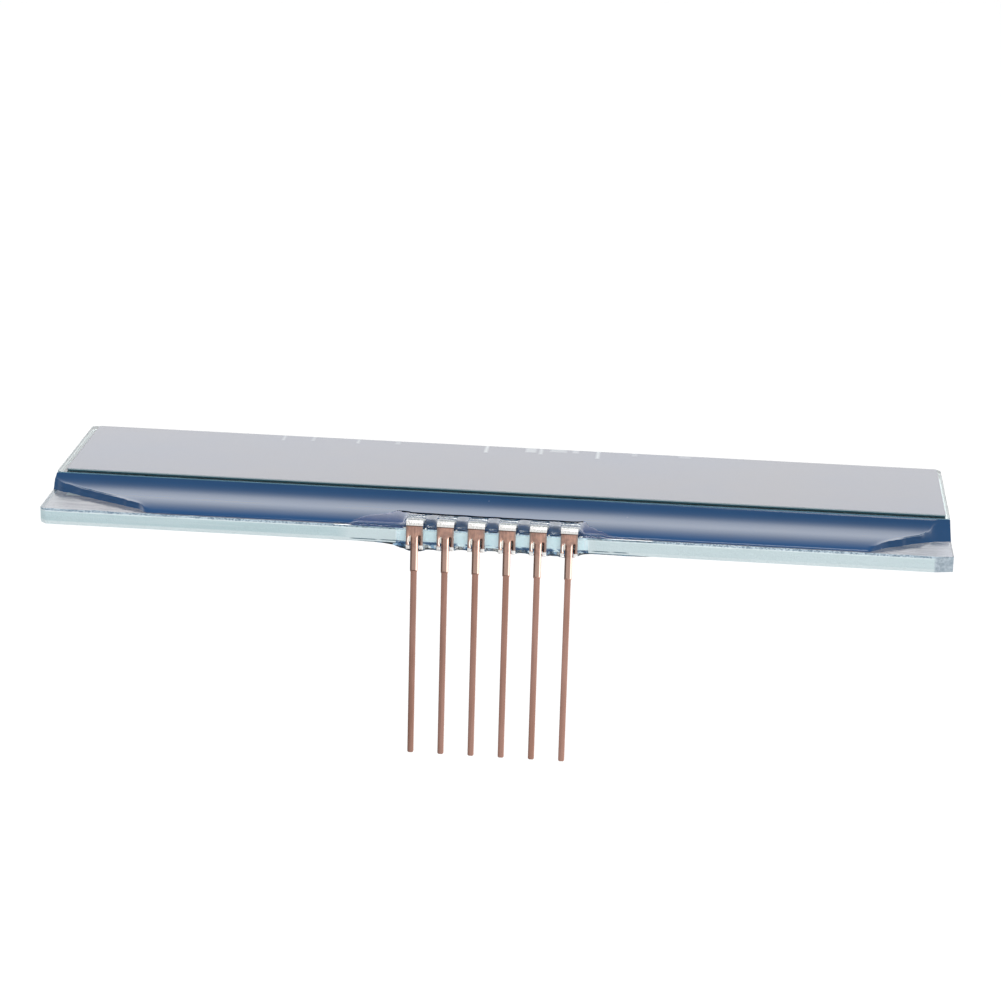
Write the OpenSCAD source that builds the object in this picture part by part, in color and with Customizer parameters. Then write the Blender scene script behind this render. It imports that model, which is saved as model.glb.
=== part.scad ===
// Glass display cell with a contact ledge, a coated driver chip and a row of clip pins.
// The origin is the middle of the pin row at the pins' free tips, display face up.
// X runs along the row, Y from the ledge towards the display, Z up. Millimetres.

/* [Glass] */
// Length of both glass plates, along the pin row
glass_w = 75.2; // [60:0.1:110]
// Depth of the upper glass plate
front_d = 13.5; // [12:0.1:40]
// Depth of the contact ledge in front of the upper glass
ledge_d = 6.5; // [5.5:0.1:10]
// Thickness of the lower glass plate
rear_t = 1.3; // [0.9:0.05:1.6]
// Thickness of the upper glass plate
front_t = 1.1; // [0.7:0.05:1.5]
// Radius of the glass corners in plan
corner_r = 0.35; // [0.1:0.05:1]
// Length of the broken facet at the lower glass's near right corner
broken_w = 1.5; // [0.8:0.1:3]
// Depth of that facet
broken_d = 0.22; // [0.05:0.01:0.5]
// Space between the two glass plates
cell_gap = 0.06; // [0.04:0.005:0.1]

/* [Polarizers] */
// Thickness of the front polarizer
pol_t = 0.2; // [0.1:0.01:0.4]
// Thickness of the rear polarizer with its reflector
rear_pol_t = 0.25; // [0.1:0.01:0.5]
// Inset of the polarizers from the long glass edges
pol_inset = 0.45; // [0.2:0.05:1]
// Inset of the polarizers from the left glass edge
pol_inset_left = 0.75; // [0.2:0.05:1.5]
// Inset of the polarizers from the right glass edge
pol_inset_right = 0.35; // [0.2:0.05:1.5]

/* [Seal and fill port] */
// Width of the perimeter seal
seal_w = 0.9; // [0.5:0.05:1.5]
// Distance of the seal from the upper glass's edge
seal_inset = 0.3; // [0.1:0.05:0.6]
// Width of the fill port in the far side of the seal
port_w = 3; // [2:0.1:6]
// How far the port's plug stands out of the glass edge
plug_out = 0.4; // [0.2:0.05:0.8]
// How far the plug overlaps the glass edge on each side of the port
plug_lap = 0.8; // [0.3:0.05:1.5]

/* [Electrodes] */
// Thickness of the electrode layers and traces
ito_t = 0.015; // [0.01:0.001:0.018]
// Number of digits
digits = 6; // [4:1:7]
// Distance between digits
digit_pitch = 10.2; // [9:0.1:10.5]
// Width of a digit
digit_w = 4.8; // [3:0.1:6]
// Height of a digit
digit_h = 8.2; // [6:0.1:9]
// Width of a segment
seg_w = 0.85; // [0.5:0.05:1.1]
// Gap between segments
seg_gap = 0.1; // [0.05:0.01:0.2]
// Width of a trace
trace_w = 0.06; // [0.04:0.01:0.08]
// Distance between neighbouring traces on the ledge
trace_pitch = 0.13; // [0.12:0.01:0.15]
// Width of a contact pad under a clip
pad_w = 0.7; // [0.5:0.05:1]
// Width of the trace from a pad to the chip
input_w = 0.18; // [0.1:0.01:0.3]
// Radius of a crossover dot
dot_r = 0.45; // [0.2:0.05:0.6]

/* [Driver chip] */
// Length of the bare chip
chip_w = 13; // [8:0.1:20]
// Depth of the bare chip
chip_d = 1.3; // [0.8:0.05:1.5]
// Thickness of the bare chip
chip_t = 0.28; // [0.2:0.01:0.35]
// Thickness of the bonding film under the chip
film_t = 0.03; // [0.02:0.005:0.05]
// How far the bonding film reaches past the chip
film_lap = 0.2; // [0.1:0.05:0.4]
// Distance of the chip's near side from the ledge's free edge
chip_set = 3; // [2.8:0.05:3.3]

/* [Clip pins] */
// Number of pins
pins = 6; // [2:1:12]
// Distance between pins
pin_pitch = 2.54; // [2:0.01:3]
// Shift of the pin row from the middle of the glass
pin_shift = 0.1; // [-2:0.05:2]
// Length of the pins below the lower glass
pin_drop = 18.4; // [5:0.1:30]
// Thickness of the strip that the pins are stamped from
strip_t = 0.25; // [0.2:0.01:0.3]
// Width of the clip
clip_w = 1.4; // [1.2:0.05:1.8]
// Width of the plain leg
leg_w = 0.51; // [0.4:0.01:0.7]
// Chamfer at the leg's free tip
leg_chamfer = 0.1; // [0.05:0.01:0.15]
// Width of the stiffened root of the leg
root_w = 0.62; // [0.5:0.01:0.75]
// How far the root's rib stands proud of the strip
rib_rise = 0.1; // [0.05:0.01:0.15]
// Width of the rib's flat crest
rib_crest = 0.34; // [0.2:0.01:0.4]
// How far the rib runs down below the lower glass
rib_drop = 2.2; // [1.5:0.1:4]
// Gap between the clip's web and the glass edge
clip_gap = 0.15; // [0.05:0.01:0.25]
// Middle radius of the clip's bends
bend_r = 0.225; // [0.2:0.005:0.3]
// Height of the upper bend's start above the ledge
bend_over = 0.41; // [0.3:0.01:0.5]
// Depth of the lower bends' start below the lower glass
bend_under = 0.08; // [0.06:0.01:0.4]
// Slope of the clip's arms towards the glass, in degrees
arm_slope = 22; // [18:1:30]
// Upward curl of the arms' tips, in degrees
tip_curl = 26; // [15:1:35]
// Radius of the arms' contact curve
contact_r = 0.3; // [0.2:0.01:0.4]
// Length of the arms' tips past the contact curve
tip_len = 0.4; // [0.2:0.05:0.6]
// Depth of the slots' upper ends below the ledge's surface
slot_top = 0.42; // [0.3:0.01:0.6]
// Narrowest gap between the root and the lower arms
slot_gap = 0.07; // [0.04:0.01:0.1]
// Extra width of the slots at their belly
slot_belly = 0.11; // [0.05:0.01:0.14]

/* [Ledge coating] */
// Distance of the coating from the ledge's free edge
coat_margin = 0.25; // [0.1:0.05:0.5]
// Height of the bead along the coating's free edge
coat_bead = 0.42; // [0.4:0.01:0.5]
// Depth over which that bead rounds up to its height
coat_bead_run = 2.6; // [1.5:0.05:2.8]
// Rise of the coating behind the bead, for each millimetre of depth
coat_slope = 0.012; // [0:0.002:0.03]
// Depth over which the coating climbs the upper glass
coat_climb_run = 0.9; // [0.6:0.05:1.2]
// Bare height left at the top of the upper glass's face
coat_lip = 0.08; // [0.04:0.01:0.3]
// How far the coating reaches out along the upper glass at its ends
coat_skirt = 1.25; // [0.6:0.05:2]
// Length of the slanted left end
coat_left_run = 8; // [3:0.1:12]
// Length of the slanted right end
coat_right_run = 6.8; // [3:0.1:12]
// Inward lean of the slanted ends, in degrees
coat_lean = 35; // [0:1:45]

/* [Pin glue] */
// How far the glue reaches over the ledge from its free edge
glue_reach = 2.5; // [2.1:0.05:2.7]
// Height of the glue between the clips' upper arms
glue_top = 0.55; // [0.45:0.01:0.65]
// Depth over which the glue's top rounds down to the glass edge
glue_shoulder = 1; // [0.8:0.05:1.2]
// Depth over which the glue's top rounds down to the coating
glue_rim = 0.7; // [0.5:0.05:0.9]
// Depth of the glue's belly below the lower glass
glue_belly = 0.52; // [0.4:0.01:0.6]
// Depth over which the belly rounds up to the glue's front
glue_chin = 0.5; // [0.3:0.05:0.7]
// Depth of the belly's lowest line behind the glue's front
glue_low = 0.9; // [0.8:0.05:1.2]
// How far the glue reaches past the outer pins
glue_past = 1.1; // [0.8:0.05:1.5]
// Length of the thin glue wings under the glass edge
glue_wing = 5; // [2:0.1:6]
// Depth of those wings
glue_wing_t = 0.16; // [0.1:0.01:0.3]

/* [Hidden] */

// Levels, from the pins' tips up
rear_z = pin_drop;
ledge_z = rear_z + rear_t;
front_z = ledge_z + cell_gap;
face_z = front_z + front_t;

// Plan positions
edge_y = strip_t / 2 + clip_gap;
front_y = edge_y + ledge_d;
back_y = front_y + front_d;
left_x = -glass_w / 2 - pin_shift;
right_x = left_x + glass_w;
mid_x = (left_x + right_x) / 2;
row_x = pin_pitch * (pins - 1) / 2;

// Cell and segment positions
seal_out = [left_x + seal_inset, front_y + seal_inset];
seal_size = [glass_w - 2 * seal_inset, front_d - 2 * seal_inset];
cell_at = [for (v = seal_out) v + seal_w];
cell_size = [for (v = seal_size) v - 2 * seal_w];
digit_y = cell_at[1] + cell_size[1] / 2;
commons = 3;
lines = 3;
leads = digits * lines;
row_h = digit_h / 2;
common_gap = 0.1;
common_past = 0.3;
dot_x = cell_at[0] + dot_r + common_gap + commons * trace_pitch;

// Chip position
chip_y = edge_y + chip_set;
chip_z = ledge_z + ito_t + film_t;
pad_pitch = chip_w / (leads + 2 * commons + 1);
pad_in = 0.25;
fan_clear = 0.15;

// Coating and glue positions
coat_y = edge_y + coat_margin;
coat_top = cell_gap + front_t - coat_lip;
glue_x = row_x + clip_w / 2 + glue_past;
glue_front = edge_y - clip_gap;

// How far a cutting shape reaches past what it cuts, and steps of the curves
past = 1;
cut_depth = 3 * ledge_d;
arc_step = 15;
coat_steps = 22;
fine = 0.01;

// Points of an arc, from one angle to another
function arc(c, r, a0, a1, n = 8) =
    [for (i = [0:n]) let (a = a0 + (a1 - a0) * i / n) [c[0] + r * cos(a), c[1] + r * sin(a)]];

// Outline of a strip of thickness t that follows a middle line
function along(p, i) =
    let (a = p[max(i - 1, 0)], b = p[min(i + 1, len(p) - 1)], d = b - a) d / norm(d);
function ribbon(p, t) = concat(
    [for (i = [0:len(p) - 1]) let (d = along(p, i)) p[i] + [-d[1], d[0]] * t / 2],
    [for (i = [len(p) - 1:-1:0]) let (d = along(p, i)) p[i] - [-d[1], d[0]] * t / 2]);

// Middle line of a clip arm as [y, z]: up from the web, over the bend, down to the contact, up at the tip
function arm_line(bend_z, contact_z) =
    let (
        s = arm_slope,
        over = [bend_r * (1 + sin(s)), bend_z + bend_r * cos(s)],
        drop = over[1] - contact_z - contact_r * (1 - cos(s)),
        touch = [over[0] + drop / tan(s) + contact_r * sin(s), contact_z + contact_r],
        lift = touch + contact_r * [sin(tip_curl), -cos(tip_curl)])
    concat([[0, bend_z - bend_r]],
           arc([bend_r, bend_z], bend_r, 180, 90 - s),
           arc(touch, contact_r, 270 - s, 270 + tip_curl, 6),
           [lift + tip_len * [cos(tip_curl), sin(tip_curl)]]);

// Height of the coating over the ledge at a depth behind its free edge: a convex bead, a slight slope
// and a concave climb up the upper glass
function coat_height(depth) =
    let (
        run = ledge_d - coat_margin,
        level = 1 - min(1, depth / coat_bead_run),
        climb = coat_top - coat_bead - coat_slope * run,
        bead = coat_bead * sqrt(1 - level * level))
    bead + coat_slope * depth + climb * pow(depth / run, run / coat_climb_run);

// The coating's surface as [y, z], with its points closer at both ends
function coat_line() =
    [for (i = [0:coat_steps]) let (depth = (ledge_d - coat_margin) * (1 - cos(180 * i / coat_steps)) / 2)
        [coat_y + depth, coat_height(depth)]];

// A profile given as [y, z], run along X from x0 to x1
module along_x(x0, x1) {
    translate([x0, 0, 0]) rotate([90, 0, 90]) linear_extrude(x1 - x0) children();
}

// An outline given as [x, z], run along Y from y0 to y1
module along_y(y0, y1) {
    translate([0, y1, 0]) rotate([90, 0, 0]) linear_extrude(y1 - y0) children();
}

module plate(at, size, r) {
    a = at + [r, r];
    b = at + size - [r, r];
    translate([0, 0, at[2]]) linear_extrude(size[2])
        polygon(concat(arc(b, r, 0, 90, 6), arc([a[0], b[1]], r, 90, 180, 6),
                       arc(a, r, 180, 270, 6), arc([b[0], a[1]], r, 270, 360, 6)));
}

// The near right corner broke off along a flat facet when the glass was parted
module rear_glass() {
    color([0.76, 0.86, 0.88]) difference() {
        plate([left_x, edge_y, rear_z], [glass_w, ledge_d + front_d, rear_t], corner_r);
        translate([0, 0, rear_z - past]) linear_extrude(rear_t + 2 * past)
            polygon([[right_x - broken_w, edge_y], [right_x - broken_w, edge_y - past],
                     [right_x + broken_w, edge_y - past], [right_x + broken_w, edge_y + 2 * broken_d]]);
    }
}

module front_glass() {
    color([0.80, 0.88, 0.90])
        plate([left_x, front_y, front_z], [glass_w, front_d, front_t], corner_r);
}

module polarizer(z, t) {
    plate([left_x + pol_inset_left, front_y + pol_inset, z],
          [glass_w - pol_inset_left - pol_inset_right, front_d - 2 * pol_inset, t], corner_r / 2);
}

module front_polarizer() {
    color([0.76, 0.77, 0.79]) polarizer(face_z, pol_t);
}

module rear_polarizer() {
    color([0.70, 0.71, 0.71]) polarizer(rear_z - rear_pol_t, rear_pol_t);
}

// The seal runs round the cell and is open at the fill port
module perimeter_seal() {
    color([0.85, 0.85, 0.82]) difference() {
        translate([seal_out[0], seal_out[1], ledge_z]) cube([seal_size[0], seal_size[1], cell_gap]);
        translate([cell_at[0], cell_at[1], ledge_z - past])
            cube([cell_size[0], cell_size[1], cell_gap + 2 * past]);
        translate([mid_x - port_w / 2, digit_y, ledge_z - past])
            cube([port_w, front_d, cell_gap + 2 * past]);
        traces_on_glass();
    }
}

// A tongue closes the port, and a rounded bead sits on both glass edges
module fill_port_plug() {
    tongue_y = cell_at[1] + cell_size[1];
    bead_w = port_w + 2 * plug_lap;
    bead_h = front_t + cell_gap;
    color([0.88, 0.86, 0.74]) union() {
        translate([mid_x - port_w / 2, tongue_y, ledge_z])
            cube([port_w, back_y - tongue_y + plug_out / 2, cell_gap]);
        intersection() {
            translate([0, 0, ledge_z + cell_gap / 2 - bead_h / 2]) linear_extrude(bead_h)
                polygon([for (i = [0:12]) let (a = 180 * i / 12)
                    [mid_x + bead_w / 2 * cos(a), back_y + plug_out * sin(a)]]);
            along_x(mid_x - bead_w, mid_x + bead_w)
                polygon([for (i = [0:12]) let (a = 90 - 180 * i / 12)
                    [back_y + plug_out * cos(a), ledge_z + cell_gap / 2 + bead_h / 2 * sin(a)]]);
        }
    }
}

// One segment, pointed at both ends, along X or along Y
module segment(c, length, upright) {
    h = seg_w / 2;
    l = length / 2 - seg_gap;
    p = [[-l, 0], [h - l, -h], [l - h, -h], [l, 0], [l - h, h], [h - l, h]];
    polygon([for (v = p) c + (upright ? [-v[1], v[0]] : v)]);
}

module strip(x0, y0, x1, y1) {
    polygon([[x0, y0], [x1, y0], [x1, y1], [x0, y1]]);
}

function digit_x(i) = mid_x + (i - (digits - 1) / 2) * digit_pitch;
function lead_x(k) = digit_x(floor(k / lines)) + (k % lines - 1) * (digit_w - seg_w) / 2;
function pad_x(k) = (k - (leads - 1) / 2) * pad_pitch;
function turn_y(k) = chip_y + chip_d + fan_clear + min(k, leads - 1 - k) * trace_pitch;

// Seven segments on three lines: the left pair, the three bars and the right pair
module digit(i) {
    x = digit_x(i);
    side = (digit_w - seg_w) / 2;
    bar = digit_w - seg_w;
    upright = row_h - seg_w / 2;
    for (k = [-1, 1], j = [-1, 1]) segment([x + k * side, digit_y + j * upright / 2], upright, true);
    for (j = [-1:1]) segment([x, digit_y + j * upright], bar, false);
    h = trace_w / 2;
    for (k = [-1, 1])
        strip(x + k * side - h, digit_y - seg_w / 2, x + k * side + h, digit_y + seg_w / 2);
    strip(x - h, digit_y - upright, x + h, digit_y + upright);
}

// A lead from its digit over the ledge, sideways and into the chip's far side
module lead(k) {
    h = trace_w / 2;
    x = lead_x(k);
    p = pad_x(k);
    strip(x - h, turn_y(k) - h, x + h, digit_y - row_h + seg_w);
    strip(min(x, p) - h, turn_y(k) - h, max(x, p) + h, turn_y(k) + h);
    strip(p - h, chip_y + chip_d - pad_in, p + h, turn_y(k) + h);
}

// The bands of the common electrodes meet half a gap off the bars of the digits
function band_edge(j) = digit_y + [-row_h - common_past, seg_w - row_h, seg_w / 2, row_h + common_past][j];
function dot_y(j) = (band_edge(j) + band_edge(j + 1)) / 2;
function common_turn(j) = turn_y(0) - fan_clear - (j + 1) * trace_pitch;

// A trace from a crossover dot down the left edge and along to the chip's end
module common_lead(j) {
    h = trace_w / 2;
    x = dot_x - dot_r - j * trace_pitch;
    strip(x - h, dot_y(j) - h, dot_x, dot_y(j) + h);
    strip(x - h, common_turn(j) - h, x + h, dot_y(j) + h);
    strip(x - h, common_turn(j) - h, -chip_w / 2 + pad_in, common_turn(j) + h);
}

module traces_on_glass() {
    translate([0, 0, ledge_z]) linear_extrude(ito_t) {
        for (i = [0:digits - 1]) digit(i);
        for (k = [0:leads - 1]) lead(k);
        for (j = [0:commons - 1]) common_lead(j);
        for (j = [0:commons - 1])
            strip(dot_x - dot_r, dot_y(j) - dot_r, dot_x + dot_r, dot_y(j) + dot_r);
    }
}

module segment_electrodes() {
    color([0.72, 0.80, 0.76]) traces_on_glass();
}

// Three bands on the upper glass, from the crossover dots past the last digit
module common_bands() {
    x1 = digit_x(digits - 1) + digit_w / 2 + common_past;
    translate([0, 0, front_z - ito_t]) linear_extrude(ito_t) for (j = [0:commons - 1])
        strip(dot_x - dot_r, band_edge(j) + common_gap / 2, x1, band_edge(j + 1) - common_gap / 2);
}

module common_electrodes() {
    color([0.74, 0.82, 0.78]) common_bands();
}

module dots() {
    for (j = [0:commons - 1]) translate([dot_x, dot_y(j), ledge_z + ito_t])
        cylinder(r = dot_r - common_gap, h = cell_gap - 2 * ito_t, $fn = 32);
}

module crossover_dots() {
    color([0.75, 0.74, 0.70]) dots();
}

module liquid_crystal() {
    color([0.72, 0.74, 0.73]) difference() {
        translate([cell_at[0], cell_at[1], ledge_z]) cube([cell_size[0], cell_size[1], cell_gap]);
        traces_on_glass();
        common_bands();
        dots();
    }
}

// One trace from each clip's contact to the chip's near side
module input_traces() {
    w = input_w;
    turn = chip_y - fan_clear - film_lap;
    color([0.72, 0.80, 0.76]) translate([0, 0, ledge_z]) linear_extrude(ito_t) for (i = [0:pins - 1]) {
        x = i * pin_pitch - row_x;
        p = x * (chip_w - 2 * pad_in) / max(chip_w, 2 * row_x + clip_w);
        strip(x - pad_w / 2, coat_y, x + pad_w / 2, turn);
        strip(min(x, p) - w / 2, turn - w, max(x, p) + w / 2, turn);
        strip(p - w / 2, turn - w, p + w / 2, chip_y + pad_in);
    }
}

module driver_chip() {
    color([0.28, 0.30, 0.34])
        translate([-chip_w / 2, chip_y, chip_z]) cube([chip_w, chip_d, chip_t]);
}

module bond_film() {
    translate([-chip_w / 2 - film_lap, chip_y - film_lap, ledge_z])
        cube([chip_w + 2 * film_lap, chip_d + 2 * film_lap, ito_t + film_t]);
}

module chip_bond_film() {
    color([0.55, 0.50, 0.38]) difference() {
        bond_film();
        traces_on_glass();
        input_traces();
    }
}

// Cuts one slanted, leaning end off the coating, from the foot line's outer point a to its inner point b
module end_cut(a, b) {
    d = b - a;
    translate([a[0], a[1], ledge_z]) rotate([0, 0, atan2(d[1], d[0])]) rotate([-coat_lean, 0, 0])
        translate([-cut_depth, -cut_depth, -cut_depth / 2])
            cube([norm(d) + 2 * cut_depth, cut_depth, cut_depth]);
}

module coat_blank() {
    skirt_y = front_y - coat_skirt;
    difference() {
        along_x(left_x, right_x) translate([0, ledge_z])
            polygon(concat(coat_line(), [[front_y, 0]]));
        end_cut([left_x, skirt_y], [left_x + coat_left_run, coat_y]);
        end_cut([right_x - coat_right_run, coat_y], [right_x, skirt_y]);
    }
}

module ledge_coating() {
    color([0.20, 0.31, 0.47]) difference() {
        coat_blank();
        bond_film();
        driver_chip();
        traces_on_glass();
        input_traces();
        clip_row();
    }
}

// Depth of the glue below the lower glass at a place along the row
function glue_sag(x) =
    let (s = (glue_x + 1 - abs(x)) / 2, t = max(0, min(1, s)), ease = t * t * (3 - 2 * t))
    glue_wing_t + (glue_belly - glue_wing_t) * ease;
function wing_sag(x) =
    let (s = (glue_x + glue_wing - abs(x)) / 2, t = max(0, min(1, s))) glue_sag(x) * sqrt(t);

// The glue wraps the ledge's free edge between and around the clips
module glue_blank() {
    n = 36;
    x0 = -glue_x - glue_wing;
    wrap_y = edge_y + glue_reach;
    low_y = glue_front + glue_low;
    step = -2 * x0 / n;
    intersection() {
        union() {
            along_x(-glue_x, glue_x) translate([0, ledge_z]) polygon(concat(
                [[glue_front, 0]],
                [for (a = [arc_step:arc_step:90])
                    [edge_y + glue_shoulder * (1 - cos(a)), glue_top * sin(a)]],
                [for (a = [90:-arc_step:0]) [wrap_y - glue_rim * (1 - cos(a)), glue_top * sin(a)]],
                [[edge_y, 0]]));
            along_x(-glue_x, glue_x)
                polygon([[glue_front, rear_z - glue_belly], [edge_y, rear_z - glue_belly],
                         [edge_y, ledge_z], [glue_front, ledge_z]]);
            along_x(x0, -x0) translate([0, rear_z]) polygon(concat(
                [[wrap_y, 0], [glue_front, 0]],
                [for (a = [arc_step:arc_step:90])
                    [glue_front + glue_chin * (1 - cos(a)), -glue_belly * sin(a)]],
                [for (a = [90:-arc_step:arc_step])
                    [low_y + (wrap_y - low_y) * cos(a), -glue_belly * sin(a)]]));
        }
        along_y(glue_front - past, wrap_y + past) polygon(concat(
            [[-x0, rear_z], [-x0, rear_z + fine], [glue_x, ledge_z], [glue_x, ledge_z + past],
             [-glue_x, ledge_z + past], [-glue_x, ledge_z], [x0, rear_z + fine], [x0, rear_z]],
            [for (i = [1:n - 1]) let (x = x0 + i * step) [x, rear_z - wing_sag(x)]]));
    }
}

module pin_glue() {
    color([0.62, 0.80, 0.83]) difference() {
        glue_blank();
        rear_glass();
        input_traces();
        coat_blank();
        clip_row();
    }
}

// The rib's form, proud of the strip by its rise, with sloping ends and flanks
module rib(back) {
    y0 = -strip_t / 2 - back;
    top = ledge_z - slot_top;
    bottom = rear_z - rib_drop;
    intersection() {
        translate([0, 0, bottom]) linear_extrude(top - bottom)
            polygon([[-root_w / 2, y0 + strip_t / 2], [-root_w / 2, y0], [-rib_crest / 2, y0 - rib_rise],
                     [rib_crest / 2, y0 - rib_rise], [root_w / 2, y0], [root_w / 2, y0 + strip_t / 2]]);
        along_x(-root_w, root_w)
            polygon([[y0 + strip_t / 2, bottom], [y0, bottom], [y0 - rib_rise, bottom + rib_rise],
                     [y0 - rib_rise, top - 2 * rib_rise], [y0, top], [y0 + strip_t / 2, top]]);
    }
}

// The clip's front outline: a web with two slots, and the leg with its wider root
module web_and_leg() {
    web_top = ledge_z + bend_over;
    web_low = rear_z - bend_under;
    slot_z = ledge_z - slot_top;
    rib_low = rear_z - rib_drop;
    h = clip_w / 2;
    r = root_w / 2;
    nip = leg_chamfer;
    difference() {
        along_y(-strip_t / 2, strip_t / 2)
            polygon([[-h, web_top], [-h, web_low], [-r, web_low], [-r, rib_low], [-leg_w / 2, rib_low - nip],
                     [-leg_w / 2, nip], [-leg_w / 2 + nip, 0], [leg_w / 2 - nip, 0], [leg_w / 2, nip],
                     [leg_w / 2, rib_low - nip], [r, rib_low], [r, web_low], [h, web_low], [h, web_top]]);
        for (k = [-1, 1]) along_y(-strip_t, strip_t)
            polygon(concat([[k * r, web_low - fine], [k * r, slot_z]],
                [for (i = [1:12]) let (t = i / 12)
                    [k * (r + slot_gap * min(1, 2 * t) + slot_belly * sin(180 * sqrt(t))),
                     slot_z + (web_low - fine - slot_z) * t]]));
    }
}

module clip_pin() {
    h = clip_w / 2;
    in = root_w / 2 + slot_gap;
    union() {
        difference() {
            union() {
                web_and_leg();
                rib(0);
            }
            rib(-strip_t);
        }
        along_x(-h, h)
            polygon(ribbon(arm_line(ledge_z + bend_over, ledge_z + ito_t + strip_t / 2), strip_t));
        for (k = [0, 1]) mirror([k, 0, 0]) along_x(in, h) translate([0, rear_z]) mirror([0, 1])
            polygon(ribbon(arm_line(bend_under, strip_t / 2), strip_t));
    }
}

module pin_at(i) {
    color([0.66, 0.53, 0.46]) translate([i * pin_pitch - row_x, 0, 0]) clip_pin();
}

module clip_row() {
    for (i = [0:pins - 1]) pin_at(i);
}

rear_glass();
front_glass();
front_polarizer();
rear_polarizer();
perimeter_seal();
fill_port_plug();
segment_electrodes();
common_electrodes();
crossover_dots();
liquid_crystal();
input_traces();
driver_chip();
chip_bond_film();
ledge_coating();
pin_glue();
for (i = [1:pins]) pin_at(i - 1);
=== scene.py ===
import math

import bpy
from mathutils import Matrix, Vector, noise


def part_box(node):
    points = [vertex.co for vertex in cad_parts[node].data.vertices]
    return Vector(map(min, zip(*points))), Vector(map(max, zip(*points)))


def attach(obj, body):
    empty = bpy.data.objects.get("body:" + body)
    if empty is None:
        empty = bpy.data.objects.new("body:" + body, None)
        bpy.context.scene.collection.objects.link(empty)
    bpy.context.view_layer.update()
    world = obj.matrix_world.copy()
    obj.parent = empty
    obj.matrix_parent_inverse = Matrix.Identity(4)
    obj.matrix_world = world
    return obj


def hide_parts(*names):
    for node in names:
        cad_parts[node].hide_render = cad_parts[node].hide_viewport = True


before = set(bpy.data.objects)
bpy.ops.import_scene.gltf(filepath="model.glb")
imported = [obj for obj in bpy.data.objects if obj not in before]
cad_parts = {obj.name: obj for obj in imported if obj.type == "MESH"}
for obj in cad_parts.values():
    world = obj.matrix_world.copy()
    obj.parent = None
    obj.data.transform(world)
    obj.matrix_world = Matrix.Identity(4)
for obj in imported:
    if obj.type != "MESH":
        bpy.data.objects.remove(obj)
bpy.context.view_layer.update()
mm = 0.001
pinNames = sorted(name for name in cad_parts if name.startswith("pin_") and name != "pin_glue")
print("frame loaded:", len(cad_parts), "nodes")


# Small helpers for picking and moving things

def clearSelection():
    if bpy.context.object and bpy.context.object.mode != "OBJECT":
        bpy.ops.object.mode_set(mode="OBJECT")
    bpy.ops.object.select_all(action="DESELECT")


def activate(piece):
    clearSelection()
    piece.select_set(True)
    bpy.context.view_layer.objects.active = piece


def objectMode():
    bpy.ops.object.mode_set(mode="OBJECT")


def editAll(piece):
    activate(piece)
    bpy.ops.object.mode_set(mode="EDIT")
    bpy.ops.mesh.select_all(action="SELECT")


# Names what an operator has just added
def named(name):
    piece = bpy.context.object
    piece.name = name
    piece.data.name = name
    return piece


def pick(piece, kind, test):
    bpy.ops.object.mode_set(mode="EDIT")
    bpy.ops.mesh.select_mode(type=kind)
    bpy.ops.mesh.select_all(action="DESELECT")
    objectMode()
    points = piece.data.vertices
    if kind == "VERT":
        for point in points:
            point.select = test(point.co)
    elif kind == "EDGE":
        for edge in piece.data.edges:
            edge.select = test(points[edge.vertices[0]].co, points[edge.vertices[1]].co)
    else:
        for face in piece.data.polygons:
            face.select = test(face.center, face.normal)
    bpy.ops.object.mode_set(mode="EDIT")


def addBox(name, low, high):
    clearSelection()
    size = [b - a for a, b in zip(low, high)]
    middle = [(a + b) / 2 for a, b in zip(low, high)]
    bpy.ops.mesh.primitive_cube_add(size=1, location=middle, scale=size)
    box = named(name)
    bpy.ops.object.transform_apply(location=True, rotation=True, scale=True)
    return box


# A bar along X with a changing section: place(x, k) gives the k-th point of the section at x
def addLoft(name, stations, sides, place):
    clearSelection()
    bpy.ops.mesh.primitive_cylinder_add(vertices=sides, radius=1, depth=1, rotation=(0, math.pi / 2, 0))
    bar = named(name)
    bpy.ops.object.transform_apply(location=True, rotation=True, scale=True)
    pick(bar, "EDGE", lambda a, b: abs(a.x - b.x) > 0.5)
    bpy.ops.mesh.subdivide(number_cuts=len(stations) - 2)
    objectMode()
    for point in bar.data.vertices:
        station = stations[round((point.co.x + 0.5) * (len(stations) - 1))]
        turn = math.atan2(point.co.z, point.co.y) / (2 * math.pi) % 1
        point.co = place(station, round(turn * sides) % sides)
    return bar


def volumeOf(piece):
    piece.data.calc_loop_triangles()
    points = piece.data.vertices
    total = 0
    for triangle in piece.data.loop_triangles:
        a, b, c = (points[i].co for i in triangle.vertices)
        total += a.dot(b.cross(c)) / 6
    return total


def tidyNormals(piece, merge=0.0000005):
    editAll(piece)
    bpy.ops.mesh.remove_doubles(threshold=merge)
    bpy.ops.mesh.normals_make_consistent(inside=False)
    objectMode()
    if volumeOf(piece) < 0:
        editAll(piece)
        bpy.ops.mesh.flip_normals()
        objectMode()


def smoothByAngle(piece, degrees):
    activate(piece)
    bpy.ops.object.shade_smooth_by_angle(angle=math.radians(degrees))


def settle(piece, slot, *nodes):
    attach(piece, "root")
    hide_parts(*nodes)
    print("piece:", piece.name, len(piece.data.polygons), "faces")


# Height at x on a line through points given as (x, height), smooth unless it is to be straight
def lineAt(points, x, straight=False):
    if x <= points[0][0]:
        return points[0][1]
    for (x0, y0), (x1, y1) in zip(points, points[1:]):
        if x <= x1:
            part = (x - x0) / (x1 - x0)
            ease = 1 if straight else part * (3 - 2 * part)
            return y0 + (y1 - y0) * part * ease
    return points[-1][1]


def wobble(x, y=0.0, z=0.0):
    return noise.noise(Vector((x, y, z)))


# Sum of noise waves, each as (size, waves per millimetre, place in the noise)
def waves(kinds, x):
    return sum(size * wobble(x * rate, place) for size, rate, place in kinds)


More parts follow.
